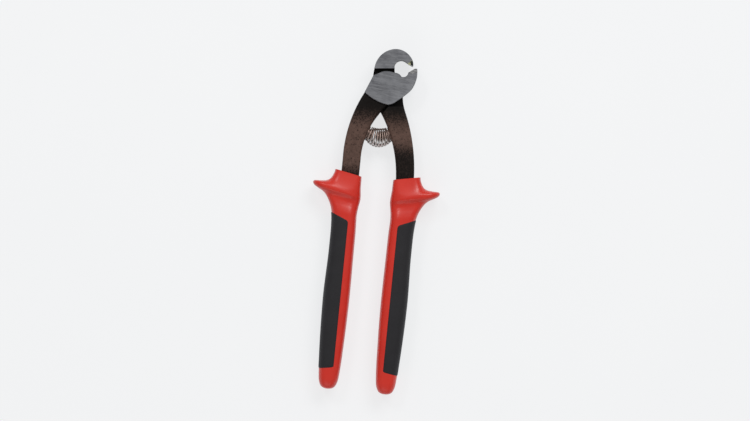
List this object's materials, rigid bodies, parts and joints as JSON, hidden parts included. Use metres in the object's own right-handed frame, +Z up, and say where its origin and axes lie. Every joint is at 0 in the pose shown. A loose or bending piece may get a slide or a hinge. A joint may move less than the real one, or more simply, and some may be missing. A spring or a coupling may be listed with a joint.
{
  "type": "tile nipper",
  "caption": "Parrot-beak tile nipper: sprung levers lapped on a riveted pivot, carbide-tipped jaws for nibbling tile edges, and moulded soft-faced grips with finger guards.",
  "frame": {"origin": "under the middle of the tool, at half its length and width, on the plane that it lies on", "axes": "+Y along the tool from the grips to the jaws, +X to the side that the jaws open to, +Z up through the thickness and along the pivot rivet"},
  "size_m": [0.074, 0.2, 0.018],
  "materials": {
    "lever_steel": "black hammered paint on forged steel, the flat faces of the head ground bright",
    "rivet_steel": "ground flush with the head",
    "carbide": "ground tungsten carbide",
    "braze": "silver-brass filler, as flowed",
    "spring_steel": "bright drawn wire",
    "seat_steel": "black paint",
    "red_plastic": "glossy moulded",
    "black_soft": "matt soft elastomer"
  },
  "bodies": {
    "front_half": {"front_lever": "lever_steel", "pivot_rivet": "rivet_steel", "lower_carbide_tip": "carbide", "lower_tip_braze": "braze", "left_spring_seat": "seat_steel", "left_grip_shell": "red_plastic", "left_grip_inlay": "black_soft", "return_spring": "spring_steel"},
    "rear_half": {"rear_lever": "lever_steel", "upper_carbide_tip": "carbide", "upper_tip_braze": "braze", "right_spring_seat": "seat_steel", "right_grip_shell": "red_plastic", "right_grip_inlay": "black_soft"}
  },
  "joints": [
    {"name": "handle_pivot", "type": "hinge", "parent": "front_half", "child": "rear_half", "pos_m": [0, 0.07681, 0.009], "axis": [0, 0, 1], "range_deg": [-4.6, 42.5], "stiffness_Nm_per_rad": 1.5, "deforming": ["return_spring"]}
  ]
}
